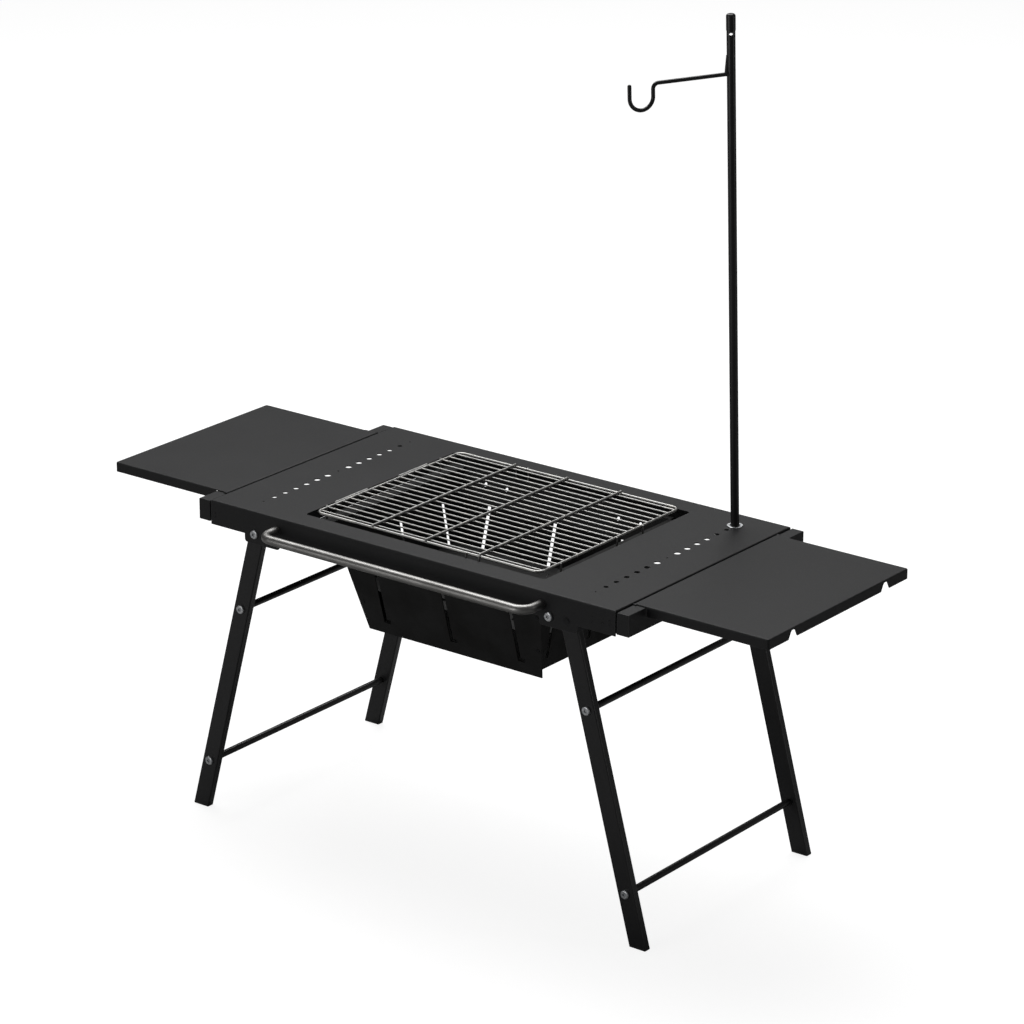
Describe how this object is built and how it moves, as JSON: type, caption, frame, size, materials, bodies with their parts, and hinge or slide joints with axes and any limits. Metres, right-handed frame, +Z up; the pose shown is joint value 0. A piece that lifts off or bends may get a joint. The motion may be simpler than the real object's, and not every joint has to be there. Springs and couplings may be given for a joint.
{
  "type": "folding camp hibachi grill",
  "caption": "Low folding charcoal grill: sheet-steel deck on splayed folding leg frames, folding side boards, lift-out firebox and wire grate, front rail, and a pole with a lantern hook.",
  "frame": {"origin": "on the floor, at the middle of the grill's footprint from the front rail to the back bolt heads", "axes": "+X to the right along the deck, +Y to the back, away from the front rail, +Z up"},
  "size_m": [0.952, 0.378, 0.9998],
  "materials": {
    "deck_coat": "satin black powder coat on folded sheet steel",
    "board_coat": "satin black powder coat on folded sheet steel",
    "leg_coat": "semi-gloss black powder coat on rectangular tube",
    "pole_coat": "semi-gloss black powder coat on round tube and rod",
    "firebox_coat": "matt heat-resistant black paint on sheet steel",
    "black_steel": "black oxide and paint on small steel fittings",
    "bar_steel": "semi-gloss black powder coat on solid rod",
    "brushed_tube": "brushed steel tube, darkened",
    "chrome_wire": "bright plated steel wire",
    "zinc": "bright zinc-plated steel",
    "black_plastic": "moulded black plastic"
  },
  "bodies": {
    "deck": {"deck_pan": "deck_coat", "end_beam_left": "deck_coat", "end_beam_right": "deck_coat", "beam_rivets": "black_steel", "skirt_rivets": "black_steel", "leg_brackets": "black_steel", "pivot_bolts": "zinc", "bracket_bolts": "zinc", "pivot_rivets": "black_steel", "bracket_rivets": "black_steel", "hinge_bearings": "black_steel", "hinge_pins": "black_steel", "front_rail": "brushed_tube", "rail_plugs": "zinc", "rail_screws": "zinc", "firebox_ledges": "black_steel", "pole_socket": "black_steel", "pole_ring": "zinc"},
    "leg_frame_left": {"leg_left_front": "leg_coat", "leg_left_back": "leg_coat", "crossbar_left_upper": "bar_steel", "crossbar_left_lower": "bar_steel", "foot_caps_left": "black_plastic", "leg_bolts_left": "zinc"},
    "leg_frame_right": {"leg_right_front": "leg_coat", "leg_right_back": "leg_coat", "crossbar_right_upper": "bar_steel", "crossbar_right_lower": "bar_steel", "foot_caps_right": "black_plastic", "leg_bolts_right": "zinc"},
    "board_left": {"side_board_left": "board_coat"},
    "board_right": {"side_board_right": "board_coat"},
    "firebox": {"firebox_wall_left": "firebox_coat", "firebox_wall_right": "firebox_coat", "firebox_wall_front": "firebox_coat", "firebox_wall_back": "firebox_coat", "firebox_floor": "firebox_coat", "firebox_rivets": "black_steel", "grid_rests": "black_steel"},
    "charcoal_grid": {"charcoal_grid": "firebox_coat"},
    "grate": {"grate_frame": "chrome_wire", "grate_cross_wires": "chrome_wire", "grate_support_wires": "chrome_wire", "grate_grips": "chrome_wire", "grate_feet": "chrome_wire"},
    "pole_foot": {"pole_foot": "black_plastic"},
    "pole": {"pole_tube": "pole_coat", "pole_cap": "pole_coat", "hook_arm": "pole_coat", "hook_fin": "pole_coat"}
  },
  "joints": [
    {"name": "leg_fold_left", "type": "hinge", "parent": "deck", "child": "leg_frame_left", "pos_m": [-0.2273, 0.016, 0.372], "axis": [0, -1, 0], "range_deg": [0, 45]},
    {"name": "leg_fold_right", "type": "hinge", "parent": "deck", "child": "leg_frame_right", "pos_m": [0.2273, 0.016, 0.372], "axis": [0, 1, 0], "range_deg": [0, 45]},
    {"name": "board_fold_left", "type": "hinge", "parent": "deck", "child": "board_left", "pos_m": [-0.2987, 0.016, 0.398], "axis": [0, 1, 0], "range_deg": [0, 95]},
    {"name": "board_fold_right", "type": "hinge", "parent": "deck", "child": "board_right", "pos_m": [0.2987, 0.016, 0.398], "axis": [0, -1, 0], "range_deg": [0, 95]},
    {"name": "firebox_lift", "type": "slide", "parent": "deck", "child": "firebox", "axis": [0, 0, 1], "range_m": [0, 0.2]},
    {"name": "charcoal_grid_lift", "type": "slide", "parent": "firebox", "child": "charcoal_grid", "axis": [0, 0, 1], "range_m": [0, 0.07]},
    {"name": "grate_lift", "type": "slide", "parent": "firebox", "child": "grate", "axis": [0, 0, 1], "range_m": [0, 0.15]},
    {"name": "pole_lift", "type": "slide", "parent": "deck", "child": "pole_foot", "axis": [-0.0314, 0, 0.9995], "range_m": [0, 0.08]},
    {"name": "pole_turn", "type": "hinge", "parent": "pole_foot", "child": "pole", "pos_m": [0.24376, 0.1493, 0.36002], "axis": [-0.0314, 0, 0.9995], "continuous": true}
  ]
}
